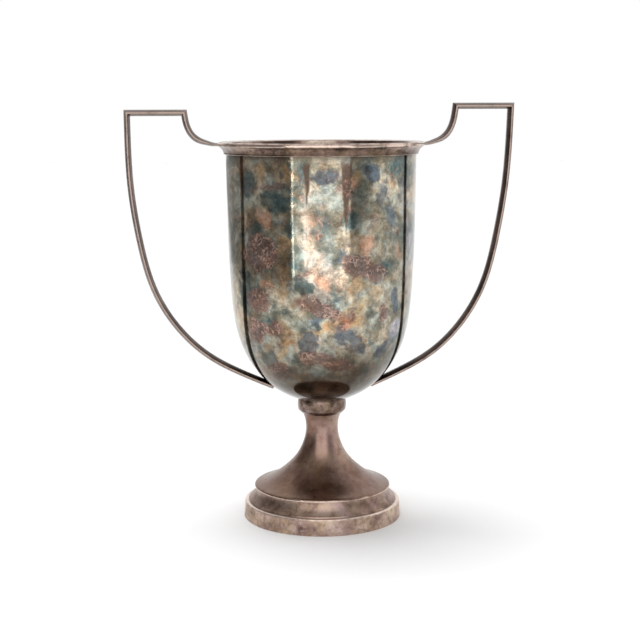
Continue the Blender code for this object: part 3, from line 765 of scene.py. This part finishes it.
def camera():
    """Stands at the given turn from the front, looks down by the pitch and a little left of the axis."""
    lens = bpy.data.cameras.new("camera")
    lens.lens, lens.sensor_width = CAMERA_LENS, SENSOR_WIDTH
    lens.dof.use_dof = False
    stand = bpy.data.objects.new("camera", lens)
    place = Matrix.Translation((CAMERA_DISTANCE * math.sin(CAMERA_TURN),
                                -CAMERA_DISTANCE * math.cos(CAMERA_TURN), CAMERA_HEIGHT))
    heading = Matrix.Rotation(CAMERA_TURN + CAMERA_AIM, 4, "Z")
    pitch = Matrix.Rotation(math.pi / 2 - CAMERA_PITCH, 4, "X")
    roll = Matrix.Rotation(-CAMERA_ROLL, 4, "Z")
    stand.matrix_world = place @ heading @ pitch @ roll
    bpy.context.scene.collection.objects.link(stand)
    bpy.context.scene.camera = stand


def floor():
    """A wide floor, even and pale to the camera, which the metal mirrors darker to the front and the left.

    The camera's own rays find one tone all over. Every other ray finds the shade, so the floor that shows
    isn't the floor that the cup is lit by and reflects.
    """
    board = Finish("stage_pale_floor")
    x, y, _ = board.axes(board.place)
    seen = board.node("ShaderNodeLightPath", out="Is Camera Ray")
    away = board.maths("MAXIMUM", board.step(y * -0.8 - x * 0.35, 0.24, 0.75), board.step(x * -1, 0.40, 0.90))
    away = away * (1 - seen)
    tone = board.cloud(3.0, 2.0) * 0.03
    colour = board.blend(away + tone, (FLOOR_TONE,) * 3, (FLOOR_SHADE,) * 3)
    board.finish(Base_Color=colour, Roughness=0.9)
    mesh = bpy.data.meshes.new("floor")
    corners = np.array([(-1, -1, 0), (1, -1, 0), (1, 1, 0), (-1, 1, 0)]) * FLOOR_REACH
    mesh.from_pydata(corners, [], [(0, 1, 2, 3)])
    mesh.materials.append(board.material)
    made = bpy.data.objects.new("floor", mesh)
    bpy.context.scene.collection.objects.link(made)


def softbox(name, turn, distance, height, width, tall, radiance):
    """A flat light that stands at the given turn and distance and faces the cup's axis level.

    Its power is pi times its area times how bright it looks, the white of the room being 1.
    """
    data = bpy.data.lights.new(name, "AREA")
    data.shape, data.size, data.size_y = "RECTANGLE", width, tall
    data.energy = math.pi * width * tall * radiance
    lamp = bpy.data.objects.new(name, data)
    angle = math.radians(turn)
    lamp.location = (distance * math.sin(angle), -distance * math.cos(angle), height)
    lamp.rotation_euler = (math.pi / 2, 0, angle)
    lamp.visible_camera = False
    bpy.context.scene.collection.objects.link(lamp)


def high_light(turn, elevation, strength, spread):
    """Light from far off, at a turn and an elevation, that only lays the cup's shadow on the floor."""
    data = bpy.data.lights.new("high_light", "SUN")
    data.energy, data.angle = strength, math.radians(spread)
    lamp = bpy.data.objects.new("high_light", data)
    lamp.rotation_euler = (math.radians(90 - elevation), 0, math.radians(turn))
    lamp.visible_glossy = False
    bpy.context.scene.collection.objects.link(lamp)


def world():
    """White air for the camera's rays; for all others dimmer to the front and dimmest at the left."""
    made = bpy.data.worlds.new("studio")
    made.use_nodes = True
    board = Board(made.node_tree)
    x, y, _ = board.axes(board.node("ShaderNodeTexCoord", out="Generated"))
    left = (1 - board.step(x, -0.85, -0.25)) * AIR_LEFT
    room = (board.step(y, -0.75, 0.35) * (1 - AIR_FRONT) + AIR_FRONT) * (1 - left)
    seen = board.node("ShaderNodeLightPath", out="Is Camera Ray")
    air = made.node_tree.nodes["Background"].inputs
    board.feed(air["Color"], (1.0, 1.0, 1.0))
    board.feed(air["Strength"], room * (1 - seen) + seen)
    bpy.context.scene.world = made


# ---------------------------------------------------------------- the cup

bowl_silver = bowl_finish()
# Painted shade: the rim's underside is darker, in its deep tone
rim_silver = satin_finish(
    "rim_worn_silver", deep=(0.052, 0.036, 0.026), middle=(0.24, 0.155, 0.120), light=(0.38, 0.275, 0.225),
    bare=(0.74, 0.58, 0.50), blotch=60.0, seed=30.0, roughness=0.17, darkened_below=(0.2262, 0.2300))
# Painted shade: the foot is darker towards its lower edge
foot_silver = satin_finish(
    "foot_worn_silver", deep=(0.165, 0.090, 0.062), middle=(0.275, 0.178, 0.136), light=(0.37, 0.265, 0.218),
    bare=(0.66, 0.52, 0.445), blotch=36.0, seed=40.0, roughness=0.21, darkened_below=(0.016, 0.044))
collar_silver = satin_finish(
    "collar_worn_silver", deep=(0.060, 0.038, 0.027), middle=(0.150, 0.100, 0.076), light=(0.33, 0.25, 0.205),
    bare=(0.74, 0.60, 0.52), blotch=110.0, seed=80.0, roughness=0.22)
mount_silver = satin_finish(
    "mount_worn_silver", deep=(0.110, 0.066, 0.052), middle=(0.30, 0.205, 0.17), light=(0.44, 0.33, 0.285),
    bare=(0.74, 0.60, 0.53), blotch=55.0, seed=70.0, roughness=0.27)
base_silver = satin_finish(
    "base_worn_silver", deep=(0.160, 0.098, 0.076), middle=(0.44, 0.315, 0.25), light=(0.66, 0.52, 0.44),
    bare=(0.86, 0.72, 0.64), blotch=70.0, seed=60.0, roughness=0.32)
handle_silver = satin_finish(
    "handle_worn_silver", deep=(0.026, 0.014, 0.010), middle=(0.082, 0.049, 0.038),
    light=(0.155, 0.103, 0.083), bare=(0.36, 0.275, 0.235), blotch=36.0, seed=50.0, roughness=0.18,
    darkened_below=(0.085, 0.17))
dull_steel = steel_finish()

base_band(base_silver)
base_mount(mount_silver)
foot(foot_silver)
collar(collar_silver)
bowl(bowl_silver)
rim_moulding(rim_silver)
handle("right", -1, handle_silver)
handle("left", 1, handle_silver)
for node in ("base_edge_wire", "bowl_stud", "bridge_washer", "spring_washer", "stud_nut"):
    frame["nodes"][node].data.materials.clear()
    frame["nodes"][node].data.materials.append(dull_steel)

world()
floor()
softbox("front_softbox", turn=-4.2, distance=0.62, height=0.40, width=0.80, tall=0.78, radiance=1.25)
softbox("edge_strip", turn=-38.0, distance=0.74, height=0.40, width=0.012, tall=0.78, radiance=10.0)
softbox("right_card", turn=82.0, distance=0.9, height=0.45, width=0.5, tall=0.8, radiance=0.35)
high_light(turn=-140.0, elevation=74.0, strength=1.95, spread=40.0)
camera()
bpy.context.scene.view_settings.view_transform = "Standard"
